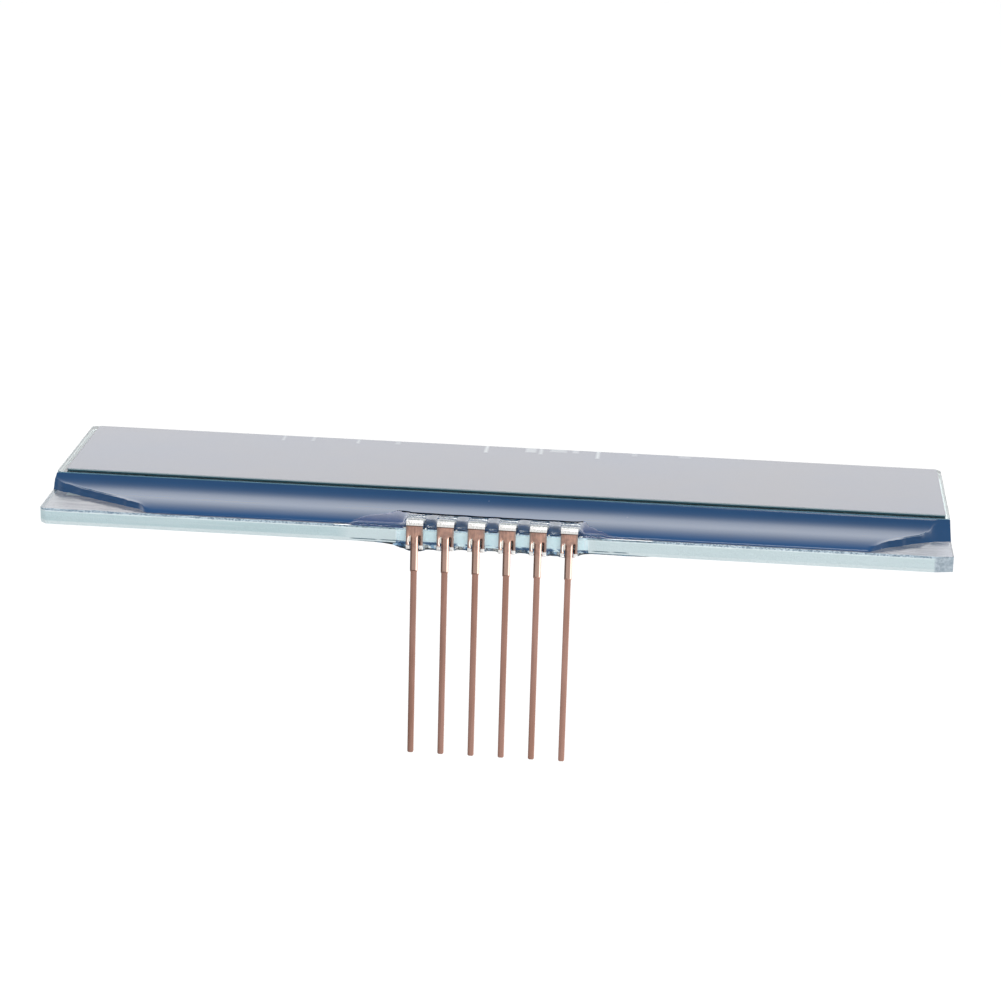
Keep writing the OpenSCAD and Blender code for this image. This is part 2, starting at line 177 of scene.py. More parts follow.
def spread(low, high, count):
    return [low + (high - low) * i / count for i in range(count + 1)]


# Stations between limits, so many in each stretch
def stationsFor(limits, counts):
    stations = limits[:1]
    for low, high, count in zip(limits, limits[1:], counts):
        stations += spread(low, high, count)[1:]
    return stations


# Levels and lines of the ledge, read from the frame
rearLow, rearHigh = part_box("rear_glass")
frontLow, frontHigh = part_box("front_glass")
ledgeZ = rearHigh.z
edgeY = rearLow.y
ledgeDepth = (frontLow.y - rearLow.y) / mm
glassThick = (rearHigh.z - rearLow.z) / mm
pinX = sorted((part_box(name)[0].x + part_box(name)[1].x) / 2 / mm for name in pinNames)


# A place on the ledge: x along it, depth from its free edge, height over it, all in millimetres
def onLedge(x, depth, height):
    return Vector((x * mm, edgeY + depth * mm, ledgeZ + height * mm))


# Glass plates with broken-out arrises
glassValues = {
    "cornerRadius": 0.35,  # millimetres, as are the other lengths here
    "cornerSteps": 4,
    "arris": 0.18,
    "filmGap": 0.004,  # air left between the lower plate and its films
    "bond": 0.004,  # the upper plate reaches this far into its films
    "cuts": 480,
    "biteBack": 0.22,
    "biteDown": 0.12,
    "biteWaves": [(0.35, 0.9, 3.1), (0.9, 5.3, 1.7), (0.5, 13, 8.2)],  # size, waves per millimetre, place
    "biteDownWaves": [(0.3, 9, 5.5)],
    "brokenLength": 1.5,
    "brokenDepth": 0.22,
    "endRound": 0.32,  # rounding of the lower plate's left lower edge
    "endTurns": (25, 45, 65),  # degrees of its facets
    "endCorner": 0.85,  # rounding of its left near corner, seen from above
    "cornerTurns": (11, 34, 56, 79),
    "bevelBack": 0.30,  # ground bevel on the upper plate's near edge
    "bevelDown": 0.08,
}


def addPlate(name, low, high, filmGap):
    values = glassValues
    gap = Vector((0, 0, filmGap * mm))
    plate = addBox(name, low + gap, high - gap)
    pick(plate, "EDGE", lambda a, b: abs(a.z - b.z) > 0.5 * mm)
    bpy.ops.mesh.bevel(offset=values["cornerRadius"] * mm, segments=values["cornerSteps"], affect="EDGES")
    objectMode()
    return plate


def cutPlate(plate, at, direction):
    editAll(plate)
    bpy.ops.mesh.bisect(plane_co=at, plane_no=direction, use_fill=True, clear_outer=True)
    objectMode()


# Facets round a middle, on the turns from one outward direction to another
def roundPlate(plate, middle, size, turns, first, second):
    for degrees in turns:
        turn = math.radians(degrees)
        away = Vector(first) * math.cos(turn) + Vector(second) * math.sin(turn)
        cutPlate(plate, middle + away * size, away)


# The near arris is nibbled: its upper line backwards, its lower line downwards
def biteArris(plate, low, high):
    values = glassValues
    reach = 0.001 * mm

    def nearTop(point):
        return abs(point.y - low.y) < reach and abs(point.z - high.z) < values["filmGap"] * mm + reach

    pick(plate, "EDGE", lambda a, b: nearTop(a) and nearTop(b))
    bpy.ops.mesh.bevel(offset=values["arris"] * mm, segments=1, affect="EDGES")
    objectMode()
    pick(plate, "EDGE", lambda a, b: abs(a.x - b.x) > 30 * mm)
    bpy.ops.mesh.subdivide(number_cuts=values["cuts"])
    objectMode()
    top = high.z - values["filmGap"] * mm
    for point in plate.data.vertices:
        x = point.co.x / mm
        bite = max(0, waves(values["biteWaves"], x))
        if abs(point.co.z - top) < reach and point.co.y < low.y + values["arris"] * mm + reach:
            point.co.y += values["biteBack"] * mm * bite
        elif abs(point.co.y - low.y) < reach and abs(point.co.z - top + values["arris"] * mm) < reach:
            point.co.z -= values["biteDown"] * mm * max(0, bite + waves(values["biteDownWaves"], x))


def makeRearGlass():
    values = glassValues
    plate = addPlate("rearGlass", rearLow, rearHigh, values["filmGap"])
    corner = Vector((rearHigh.x, rearLow.y, 0))
    slope = Vector((3 * values["brokenDepth"], -2 * values["brokenLength"], 0))
    cutPlate(plate, corner - Vector((values["brokenLength"] * mm, 0, 0)), slope.normalized())
    size = values["endRound"] * mm
    middle = Vector((rearLow.x + size, 0, rearLow.z + values["filmGap"] * mm + size))
    roundPlate(plate, middle, size, values["endTurns"], (0, 0, -1), (-1, 0, 0))
    size = values["endCorner"] * mm
    middle = Vector((rearLow.x + size, rearLow.y + size, 0))
    roundPlate(plate, middle, size, values["cornerTurns"], (-1, 0, 0), (0, -1, 0))
    biteArris(plate, rearLow, rearHigh)
    tidyNormals(plate, 0.0000001)
    smoothByAngle(plate, 20)
    settle(plate, "plate_glass", "rear_glass")
    return plate


def makeFrontGlass():
    values = glassValues
    plate = addPlate("frontGlass", frontLow, frontHigh, -values["bond"])
    at = Vector((0, frontLow.y, frontHigh.z - values["bevelDown"] * mm))
    cutPlate(plate, at, Vector((0, -values["bevelDown"], values["bevelBack"])).normalized())
    tidyNormals(plate, 0.0000001)
    smoothByAngle(plate, 20)
    settle(plate, "plate_glass", "front_glass")
    return plate


rearGlass = makeRearGlass()
frontGlass = makeFrontGlass()
print("glass plates done")


# Resin poured over the ledge and the chip
coatingValues = {
    "margin": 0.40,
    "bead": 0.42,
    "beadRun": 2.6,
    "slope": 0.012,
    "climbRun": 0.9,
    "lip": 0.08,
    "lean": 0.80,  # plan width of the end walls for each unit of their height
    "rim": 0.036,
    "rimRun": 0.26,
    # how far the foot stays back from the free edge, as (x, depth)
    "leftFoot": [(-37.7, 5.25), (-37.3, 5.0), (-34.1, 3.4), (-30.3, 1.6), (-29.6, 1.25), (-28.8, 0.40)],
    "rightFoot": [(30.7, 0.40), (31.6, 1.3), (34.5, 3.1), (35.3, 3.5), (36.3, 3.95), (37.5, 4.15)],
    "rightLump": [(34.9, 0.0), (35.6, 0.5), (36.2, 1.5), (36.8, 1.9), (37.5, 1.8)],
    "footWaves": [(0.05, 2.3, 6.0), (0.06, 8, 3.0)],
    "endWaves": [(0.10, 1.1, 4.0), (0.05, 4, 2.0)],
    "endRun": 0.6,  # the end walls are fully formed where the foot is this far back
    "middle": (-27.7, 29.7),  # the stretch between the end walls
    "stations": (110, 70, 90),
    "beadTurn": 35,
    "backGap": 0.15,
    "overlap": 0.01,  # into the upper plate
    "wallRows": 12,
    "surfaceRows": 38,
    "backRows": 6,
}
coatTop = (frontHigh.z - ledgeZ) / mm - coatingValues["lip"]


# Convex bead at the free edge, nearly level in the middle, concave climb up the glass
def coatHeight(depth):
    values = coatingValues
    inside = max(0, depth - values["margin"])
    run = ledgeDepth - values["margin"]
    level = 1 - min(1, inside / values["beadRun"])
    bead = values["bead"] * math.sqrt(1 - level * level)
    climb = coatTop - values["bead"] - values["slope"] * run
    return bead + values["slope"] * inside + climb * (inside / run) ** (run / values["climbRun"])


def footDepth(x):
    values = coatingValues
    depth = lineAt(values["leftFoot" if x < 0 else "rightFoot"], x, straight=True)
    end = min(1, (depth - values["margin"]) / values["endRun"])
    return depth + end * waves(values["endWaves"], x) + waves(values["footWaves"], x)


def makeCoating():
    values = coatingValues
    stations = stationsFor([rearLow.x / mm, *values["middle"], rearHigh.x / mm], values["stations"])
    beadTurn = math.radians(values["beadTurn"])
    wallRows, surfaceRows, backRows = values["wallRows"], values["surfaceRows"], values["backRows"]
    overlap = values["overlap"]

    def place(x, k):
        foot = footDepth(x)
        end = max(0, min(1, (foot - values["margin"]) / values["endRun"]))
        rise = coatHeight(min(foot + 0.45, ledgeDepth))
        crease = values["margin"] + values["beadRun"] * (1 - math.cos(beadTurn))
        lump = lineAt(values["rightLump"], x)
        crease += (foot + values["lean"] * rise + lump - crease) * end
        crease = min(crease, ledgeDepth - values["backGap"])
        if k <= wallRows:
            part = k / wallRows
            turn = beadTurn * part
            roundDepth = foot + (crease - foot) * (1 - math.cos(turn)) / (1 - math.cos(beadTurn))
            roundHeight = coatHeight(crease) * math.sin(turn) / math.sin(beadTurn)
            flatDepth = foot + (crease - foot) * part
            flatHeight = coatHeight(crease) * part
            depth = roundDepth + (flatDepth - roundDepth) * end
            height = roundHeight + (flatHeight - roundHeight) * end
            depth += end * 0.07 * wobble(x * 2.7, part * 2.5, 1.0) * math.sin(math.pi * part)
            height += end * values["rim"] * part ** 6
            return onLedge(x, depth, height)
        if k <= wallRows + surfaceRows:
            part = (k - wallRows) / surfaceRows
            depth = crease + (ledgeDepth - crease) * math.sin(part * math.pi / 2)
            rim = end * values["rim"] * math.exp(-((depth - crease) / values["rimRun"]) ** 2)
            return onLedge(x, depth + overlap * (part == 1), coatHeight(depth) + rim)
        part = 2 * (k - wallRows - surfaceRows) / backRows
        if part > 1:
            return onLedge(x, ledgeDepth + overlap + (foot - ledgeDepth) * (part - 1), 0)
        return onLedge(x, ledgeDepth + overlap, coatTop * (1 - part))

    coating = addLoft("ledgeCoating", stations, wallRows + surfaceRows + backRows, place)
    tidyNormals(coating)
    smoothByAngle(coating, 50)
    settle(coating, "blue_coating", "ledge_coating")
    return coating


ledgeCoating = makeCoating()
print("coating done")


# Clear resin round the clips
glueValues = {
    # lines along the row, as (x, size)
    "rim": [(-11.9, 0.45), (-11.7, 0.6), (-11.1, 1.15), (-10.6, 1.65), (-10.0, 1.95), (-8.9, 2.35),
            (-8.1, 3.25), (-6.5, 3.1), (-4.6, 3.0), (0.0, 2.92), (6.3, 2.92), (7.3, 3.05), (7.9, 1.9),
            (8.7, 1.1), (9.6, 0.6), (10.4, 0.45)],
    "belly": [(-13.1, 0.0), (-11.0, 0.02), (-9.8, 0.05), (-9.0, 0.14), (-8.2, 0.27), (-7.5, 0.50),
              (-6.35, 0.60), (-5.3, 0.52), (-3.8, 0.44), (-2.5, 0.38), (0.0, 0.34), (2.5, 0.36), (4.0, 0.43),
              (5.3, 0.46), (6.6, 0.45), (7.15, 0.26), (7.7, 0.13), (8.2, 0.09), (9.6, 0.11), (11.3, 0.15),
              (12.6, 0.09), (13.1, 0.0)],
    # widths of the painted shade line along the rim and of the painted highlight round the left lobe, as (x,
    # width)
    "shadeLine": [(-8.5, 0.0), (-7.6, 0.46), (-6.0, 0.72), (-3.0, 0.60), (5.0, 0.60), (7.0, 0.54),
                 (7.7, 0.0)],
    "highlightLine": [(-11.9, 0.0), (-11.5, 0.14), (-10.0, 0.20), (-8.9, 0.16), (-8.6, 0.0)],
    # how far it stands before the glass edge, by the distance from the row's middle
    "front": [(7.1, 0.15), (7.6, 0.07), (7.9, 0.0), (8.3, -0.04)],
    "slant": 0.12,
    "crown": 0.53,
    "crest": (2.20, 0.50),  # depth where the top starts to fall backwards, and how much earlier over a clip
    "wingSkin": 0.025,
    "shoulder": (1.25, 0.7),  # depth of the rounding down to the edge, among the clips and in the wings
    "under": 2.3,
    "skin": 0.006,
    "reach": (0.55, 1.0),  # from a clip's middle the resin stands high as far as this, and low from here on
    "climb": 0.10,  # how much further out it stands where it wets a clip
    # extra height over a clip's arm, as (depth from the glass edge, height)
    "hump": [(-0.3, 0.25), (0.3, 0.24), (1.0, 0.15), (1.6, 0.05), (2.0, 0.0)],
    "clipBelly": 0.09,
    "limits": [-13.1, -7.6, 7.6, 13.1],  # ends of the wings and of the row
    "stations": (55, 304, 55),
    # ends of top, shoulder, face and lip, as shares of the section's outer points
    "stretchEnds": (0.32, 0.60, 0.70, 0.86),
    "faceTop": -0.25,
    "lipRound": 0.35,
    "sway": 0.026,
    "outerRows": 66,
}


# How far along the stretch from low to high a share lies
def along(part, low, high):
    return (part - low) / (high - low)


def makeGlue():
    values = glueValues
    stations = stationsFor(values["limits"], values["stations"])
    outer = values["outerRows"]
    topEnd, shoulderEnd, faceEnd, lipEnd = values["stretchEnds"]
    faceTop, lipRound = values["faceTop"], values["lipRound"]
    shoulderWing, shoulderRow = values["shoulder"][1], values["shoulder"][0]
    bottom = -glassThick
    skin = values["skin"]
    near, far = values["reach"]

    def place(x, k):
        row = max(0, min(1, (pinX[-1] + 1.1 - abs(x)) / 0.4))
        aside = min(abs(x - middle) for middle in pinX)
        close = max(0, min(1, (far - aside) / (far - near)))
        close = close * close * (3 - 2 * close)
        rim = lineAt(values["rim"], x)
        belly = lineAt(values["belly"], x) + values["clipBelly"] * close * row
        lip = bottom - 0.05 * min(1, belly / 0.1)
        shoulder = min(shoulderWing + (shoulderRow - shoulderWing) * row, rim * 0.7)
        under = values["under"] * min(1, belly / 0.3)
        crest = values["crest"][0] - values["crest"][1] * close
        part = k / (outer - 1)

        def frontAt(height):
            out = lineAt(values["front"], abs(x) + values["slant"] * (1 + height / glassThick))
            return -out - values["climb"] * (close - 0.4) * row

        def topAt(depth):
            seat = coatHeight(depth)
            wing = seat + values["wingSkin"] * min(1, (rim - depth) / 0.08)
            if rim <= crest:
                return wing
            fall = max(0, depth - crest) / (rim - crest)
            flat = values["crown"] + (coatHeight(rim) - 0.015 - values["crown"]) * fall
            return wing + (flat - wing) * row

        if k >= outer:
            inner = [max(-skin, frontAt(height) + 0.02) for height in (bottom, bottom / 2, 0)]
            corners = [(under, bottom - skin), (under * 0.5, bottom - skin), (inner[0], bottom - skin),
                       (inner[1], bottom * 0.5), (inner[2], skin), (rim * 0.5, skin), (rim, skin)]
            return onLedge(x, *corners[k - outer])
        if part < topEnd:
            depth = rim + (shoulder - rim) * part / topEnd
            height = topAt(depth) - 0.04 * (k == 0)
        elif part < shoulderEnd:
            turn = along(part, topEnd, shoulderEnd) * math.pi / 2
            top = topAt(shoulder)
            height = top - (top - faceTop) * (1 - math.cos(turn))
            depth = frontAt(height) + (shoulder - frontAt(height)) * (1 - math.sin(turn))
        elif part < faceEnd:
            height = faceTop + (lip - faceTop) * along(part, shoulderEnd, faceEnd)
            depth = frontAt(height)
        elif part < lipEnd:
            turn = along(part, faceEnd, lipEnd) * math.pi / 2
            depth = frontAt(lip) + lipRound * (1 - math.cos(turn))
            height = lip - max(0, belly - 0.05) * math.sin(turn)
        else:
            turn = along(part, lipEnd, 1) * math.pi / 2
            depth = frontAt(lip) + lipRound + (under - frontAt(lip) - lipRound) * math.sin(turn)
            height = bottom - skin - (belly - skin) * math.cos(turn)
        if part < shoulderEnd and height > 0:
            height += close * row * lineAt(values["hump"], depth) * min(1, height / 0.3)
        sway = values["sway"] * row * wobble(x * 1.3, part * 6, 2.0) * (part > 0.36)
        return onLedge(x, depth + sway, height + sway)

    glue = addLoft("pinGlue", stations, outer + 7, place)
    tidyNormals(glue, 0.0000002)
    smoothByAngle(glue, 60)
    settle(glue, "pin_resin", "pin_glue")
    return glue


pinGlue = makeGlue()
print("glue done")


# Stamped clip pins with eased edges
pinValues = {
    "easing": 0.035,  # rounding of the stamped edges
    "easingSteps": 3,
    "rollFrom": 0.58,  # the arms roll over towards the slots from this distance to the middle
    "rollTo": 0.38,
    "rollDepth": 0.10,
    "rootHalf": 0.31,  # half width of the leg's root
    "angle": 32,
}


def makePins():
    values = pinValues
    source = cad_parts[pinNames[0]]
    activate(source)
    bpy.ops.object.duplicate()
    first = named("clipPin1")
    first.parent = None
    for key in list(first.keys()):
        del first[key]
    editAll(first)
    bpy.ops.mesh.remove_doubles(threshold=0.000001)
    bpy.ops.mesh.dissolve_limited(angle_limit=math.radians(1))
    objectMode()
    bevel = first.modifiers.new("easing", "BEVEL")
    bevel.width = values["easing"] * mm
    bevel.segments = values["easingSteps"]
    bevel.limit_method = "ANGLE"
    bevel.angle_limit = math.radians(values["angle"])
    activate(first)
    bpy.ops.object.modifier_apply(modifier="easing")
    smoothByAngle(first, 40)
    made = [first]
    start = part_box(pinNames[0])[0]
    for count, name in enumerate(pinNames[1:], 2):
        activate(first)
        bpy.ops.object.duplicate()
        pin = named(f"clipPin{count}")
        editAll(pin)
        bpy.ops.transform.translate(value=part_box(name)[0] - start)
        objectMode()
        made.append(pin)
    for pin, name in zip(made, pinNames):
        settle(pin, "pin_copper", name)
    return made


clipPins = makePins()
print("pins done")


# Node helpers

def put(tree, kind, values=None, **settings):
    made = tree.nodes.new(kind)
    for key, value in settings.items():
        setattr(made, key, value)
    fill(tree, made, values or {})
    return made


# Links sockets and sets plain values; colours are given as (red, green, blue)
def fill(tree, node, values):
    for key, value in values.items():
        socket = node.inputs[key]
        if isinstance(value, bpy.types.NodeSocket):
            tree.links.new(value, socket)
        else:
            socket.default_value = (*value, 1) if socket.type == "RGBA" else value


def mathNode(tree, operation, a, b=0.0):
    return put(tree, "ShaderNodeMath", {0: a, 1: b}, operation=operation).outputs[0]


def times(tree, a, b):
    return mathNode(tree, "MULTIPLY", a, b)


def most(tree, first, *others):
    for other in others:
        first = mathNode(tree, "MAXIMUM", first, other)
    return first


def mapRange(tree, value, low, high, toLow, toHigh):
    made = put(tree, "ShaderNodeMapRange", {0: value, 1: low, 2: high, 3: toLow, 4: toHigh})
    return made.outputs[0]


# A value that goes from low to high as the mask goes from none to full
def follow(tree, mask, low, high):
    return mapRange(tree, mask, 0.0, 1.0, low, high)


# One where a value lies between two limits
def between(tree, value, low, high):
    above = mathNode(tree, "GREATER_THAN", value, low)
    return times(tree, above, mathNode(tree, "LESS_THAN", value, high))


# Lays a colour over another where the mask is, if need be at a share of its strength
def paint(tree, under, mask, colour, share=None):
    if share is not None:
        mask = times(tree, mask, share)
    return put(tree, "ShaderNodeMix", {0: mask, 6: under, 7: colour}, data_type="RGBA").outputs[2]


def objectPlace(tree):
    return put(tree, "ShaderNodeTexCoord").outputs["Object"]


def split(tree, vector):
    return put(tree, "ShaderNodeSeparateXYZ", {0: vector}).outputs


def vectorMath(tree, operation, *values):
    return put(tree, "ShaderNodeVectorMath", dict(enumerate(values)), operation=operation).outputs[0]


def bump(tree, height, distance, strength, under=None):
    values = {"Height": height, "Distance": distance * mm, "Strength": strength}
    if under is not None:
        values["Normal"] = under
    return put(tree, "ShaderNodeBump", values).outputs[0]


# Effects that several materials share, as node groups

def newGroup(name, inputs, outputs):
    tree = bpy.data.node_groups.new(name, "ShaderNodeTree")
    for label, kind, value in inputs:
        socket = tree.interface.new_socket(name=label, in_out="INPUT", socket_type="NodeSocket" + kind)
        socket.default_value = value
    for label, kind in outputs:
        tree.interface.new_socket(name=label, in_out="OUTPUT", socket_type="NodeSocket" + kind)
    return tree, tree.nodes.new("NodeGroupInput"), tree.nodes.new("NodeGroupOutput")


def stretchedNoise(tree, start, detail, roughness):
    place = vectorMath(tree, "MULTIPLY", objectPlace(tree), start.outputs["Stretch"])
    values = {"Vector": place, "Scale": start.outputs["Scale"], "Detail": detail, "Roughness": roughness}
    return put(tree, "ShaderNodeTexNoise", values).outputs[0]


# Soft drift between two colours
def makeDriftGroup():
    inputs = [
        ("Colour", "Color", (0.5, 0.5, 0.5, 1)),
        ("Other", "Color", (0.4, 0.4, 0.4, 1)),
        ("Scale", "Float", 100.0),
        ("Stretch", "Vector", (1, 1, 1)),
    ]
    tree, start, end = newGroup("colourDrift", inputs, [("Colour", "Color"), ("Mask", "Float")])
    mask = mapRange(tree, stretchedNoise(tree, start, 4.0, 0.55), 0.35, 0.65, 0.0, 1.0)
    colour = paint(tree, start.outputs["Colour"], mask, start.outputs["Other"])
    fill(tree, end, {"Colour": colour, "Mask": mask})
    return tree


# A box in the part's own frame, soft at its faces
def makeZoneGroup():
    inputs = [("Low", "Vector", (-1, -1, -1)), ("High", "Vector", (1, 1, 1)), ("Fade", "Float", 0.0001)]
    tree, start, end = newGroup("zone", inputs, [("Mask", "Float")])
    place = objectPlace(tree)
    low = vectorMath(tree, "SUBTRACT", place, start.outputs["Low"])
    high = vectorMath(tree, "SUBTRACT", start.outputs["High"], place)
    parts = split(tree, vectorMath(tree, "MINIMUM", low, high))
    least = mathNode(tree, "MINIMUM", parts[0], parts[1])
    least = mathNode(tree, "MINIMUM", least, parts[2])
    scaled = mathNode(tree, "DIVIDE", least, start.outputs["Fade"])
    mask = put(tree, "ShaderNodeMath", {0: scaled, 1: 0.5}, operation="ADD", use_clamp=True)
    fill(tree, end, {"Mask": mask.outputs[0]})
    return tree


# Long scratches or drawn lines along one axis
def makeStreakGroup():
    inputs = [
        ("Stretch", "Vector", (0.05, 1, 1)),
        ("Scale", "Float", 4000.0),
        ("Low", "Float", 0.5),
        ("High", "Float", 0.7),
    ]
    tree, start, end = newGroup("streaks", inputs, [("Mask", "Float")])
    cloud = stretchedNoise(tree, start, 3.0, 0.6)
    fill(tree, end, {"Mask": mapRange(tree, cloud, start.outputs["Low"], start.outputs["High"], 0.0, 1.0)})
    return tree


# Fine specks: dust and tiny bubbles
def makeSpeckGroup():
    inputs = [("Scale", "Float", 2000.0), ("Size", "Float", 0.12), ("Share", "Float", 0.1)]
    tree, start, end = newGroup("specks", inputs, [("Mask", "Float")])
    cells = put(tree, "ShaderNodeTexVoronoi", {"Vector": objectPlace(tree), "Scale": start.outputs["Scale"]})
    chosen = put(tree, "ShaderNodeSeparateColor", {0: cells.outputs["Color"]}).outputs[0]
    chosen = mathNode(tree, "LESS_THAN", chosen, start.outputs["Share"])
    near = mathNode(tree, "LESS_THAN", cells.outputs["Distance"], start.outputs["Size"])
    fill(tree, end, {"Mask": times(tree, chosen, near)})
    return tree


groups = {
    "drift": makeDriftGroup(),
    "zone": makeZoneGroup(),
    "streaks": makeStreakGroup(),
    "specks": makeSpeckGroup(),
}


def useGroup(tree, name, **values):
    made = tree.nodes.new("ShaderNodeGroup")
    made.node_tree = groups[name]
    fill(tree, made, values)
    return made.outputs


def drift(tree, colour, other, scale, stretch=(1, 1, 1)):
    return useGroup(tree, "drift", Colour=colour, Other=other, Scale=scale, Stretch=stretch)["Colour"]


# The same drift as a mask, for bumps and roughness
def swell(tree, scale, stretch=(1, 1, 1)):
    return useGroup(tree, "drift", Scale=scale, Stretch=stretch)["Mask"]


def streaks(tree, stretch, scale, low, high):
    return useGroup(tree, "streaks", Stretch=stretch, Scale=scale, Low=low, High=high)["Mask"]


def specks(tree, scale, size, share):
    return useGroup(tree, "specks", Scale=scale, Size=size, Share=share)["Mask"]


# Zones are given like a place on the ledge, in millimetres, by their low and high limits
beyond = 1000  # further out than any piece: no limit on that side
nearEdge = (-beyond, 3)  # depths of the near edge, with nothing behind it
underside = -glassThick
leftX, rightX = rearLow.x / mm, rearHigh.x / mm


def zone(tree, fade, x=(-beyond, beyond), depth=(-beyond, beyond), height=(-beyond, beyond)):
    low = onLedge(x[0], depth[0], height[0])
    high = onLedge(x[1], depth[1], height[1])
    return useGroup(tree, "zone", Low=low, High=high, Fade=fade * mm)["Mask"]


# Signed distance along x from the middle of the nearest pin, in millimetres
def asidePins(tree):
    x = mathNode(tree, "DIVIDE", split(tree, objectPlace(tree))[0], mm)
    pitch = pinX[1] - pinX[0]
    shifted = mathNode(tree, "SUBTRACT", x, pinX[0] - pitch / 2)
    return mathNode(tree, "SUBTRACT", mathNode(tree, "FLOORED_MODULO", shifted, pitch), pitch / 2)


def newMaterial(name, **plain):
    material = bpy.data.materials.new(name)
    material.use_nodes = True
    tree = material.node_tree
    shader = tree.nodes["Principled BSDF"]
    fill(tree, shader, {key.replace("_", " "): value for key, value in plain.items()})
    return material, tree, shader


def connect(tree, shader, **sockets):
    fill(tree, shader, {key.replace("_", " "): value for key, value in sockets.items()})


def dress(piece, *materials):
    piece.data.materials.clear()
    for material in materials:
        piece.data.materials.append(material)


def dressNode(name, material):
    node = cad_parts[name]
    for slot in node.material_slots:
        slot.material = material
    if not node.material_slots:
        node.data.materials.append(material)


# Cut edges of the glass: a painted pale green glow stands for the light inside the plate; painted
# highlights, shade and glow lie over it
black = (0, 0, 0)
edgeColourAndLight = {
    "glow": (0.64, 0.82, 0.87),
    "glowOther": (0.58, 0.76, 0.80),
    "bright": (0.84, 0.96, 0.99),
    "bandShare": 0.3,
    # painted highlights: stretches painted brighter, as (share, fade, limits)
    "paintedHighlights": [
        (0.85, 0.12, {"height": (-beyond, underside + 0.30)}),
        (0.5, 8.0, {"x": (6, beyond)}),
        (0.9, 0.04, {"height": (-0.22, -0.12)}),
        (0.6, 1.2, {"x": (pinX[0] - 6, pinX[-1] + 2.6), "depth": nearEdge}),
    ],
    "arrisHeight": 0.15,
    "arrisDepth": 0.5,
    "flakeLight": (0.55, 0.68, 0.77),
    "flakeShade": (0.15, 0.24, 0.34),
    # painted shade: dark lines along the resin's meniscus on the edge beside the pins, as (heights, fade at
    # their ends, stretches of x)
    "meniscusShadeLines": [
        ((-1.13, -1.05), 0.4, [(-11.6, -9.5), (-9.2, -7.2), (7.2, 7.9), (8.3, 9.6), (9.95, 11.1)]),
        ((-beyond, underside + 0.05), 0.8, [(-10.8, -7.4), (7.4, 12.0)]),
    ],
    "meniscusShade": (0.04, 0.12, 0.18),
    "meniscusShadeShare": 0.95,
    # painted dark reflection on the upper plate's ground bevel
    "bevel": (0.19, 0.40, 0.52),
    "facetLight": (0.60, 0.70, 0.78),
    "facetShade": (0.33, 0.42, 0.50),
    "rowGlow": (0.27, 0.31, 0.34),
}

# Painted light at the clips' slots: a highlight and glow on their left, shade on their right
slotHighlightAndShade = {
    "reach": (0.30, 0.55),  # from the middle of a pin
    "light": (0.88, 0.80, 0.73),
    "glow": (0.62, 0.55, 0.50),
    "shade": (0.15, 0.055, 0.04),
}


def edgeMaterial():
    values = edgeColourAndLight
    material, tree, shader = newMaterial("glassEdge", Roughness=0.25, IOR=1.5, Transmission_Weight=0.08)
    colour = drift(tree, values["glow"], values["glowOther"], 420.0, (0.2, 1, 2))
    # streaks along the edge, then painted highlights on the lower band, the right end, a thin band near the
    # top and behind the pin row
    bright = times(tree, streaks(tree, (0.04, 1, 1), 2600.0, 0.50, 0.72), values["bandShare"])
    for share, fade, limits in values["paintedHighlights"]:
        bright = most(tree, bright, times(tree, zone(tree, fade, **limits), share))
    colour = paint(tree, colour, bright, values["bright"])
    arris = zone(tree, 0.03, depth=(-beyond, values["arrisDepth"]), height=(-values["arrisHeight"], beyond))
    flakes = streaks(tree, (0.75, 1, 1), 8500.0, 0.46, 0.58)
    colour = paint(tree, colour, arris, paint(tree, values["flakeLight"], flakes, values["flakeShade"]))
    # painted shade lines where the resin meets the edge
    for height, fade, spans in values["meniscusShadeLines"]:
        line = zone(tree, 0.03, height=height)
        for span in spans:
            dash = times(tree, zone(tree, fade, x=span, depth=nearEdge), line)
            colour = paint(tree, colour, dash, values["meniscusShade"], values["meniscusShadeShare"])
    frontTop = (frontHigh.z - ledgeZ) / mm
    # painted dark reflection on the ground bevel of the upper plate
    bevel = zone(tree, 0.01, depth=(ledgeDepth - 0.01, ledgeDepth + 0.33), height=(frontTop - 0.10, beyond))
    colour = paint(tree, colour, bevel, values["bevel"])
    facet = zone(tree, 0.2, x=(rightX - glassValues["brokenLength"], beyond), depth=(-beyond, 0.7),
                 height=(-beyond, -0.05))
    colour = paint(tree, colour, facet, drift(tree, values["facetLight"], values["facetShade"], 3000.0))
    # painted glow: emission brightens the edge behind the pin row
    row = zone(tree, 0.3, x=(pinX[0] - 1.5, pinX[-1] + 1.5), depth=nearEdge)
    lit = paint(tree, black, row, values["rowGlow"])
    # behind the slots the edge gets a painted highlight and glow on the left and painted shade on the right
    aside = asidePins(tree)
    near, far = slotHighlightAndShade["reach"]
    clips = zone(tree, 0.1, x=(pinX[0] - 1, pinX[-1] + 1), depth=nearEdge, height=(underside + 0.05, -0.4))
    left = times(tree, clips, between(tree, aside, -far, -near))
    right = times(tree, clips, between(tree, aside, near, far))
    colour = paint(tree, colour, left, slotHighlightAndShade["light"])
    colour = paint(tree, colour, right, slotHighlightAndShade["shade"])
    lit = paint(tree, paint(tree, lit, left, slotHighlightAndShade["glow"]), right, black)
    connect(tree, shader, Base_Color=colour, Emission_Color=lit, Emission_Strength=1.0,
            Normal=bump(tree, flakes, 0.03, 0.6))
    return material


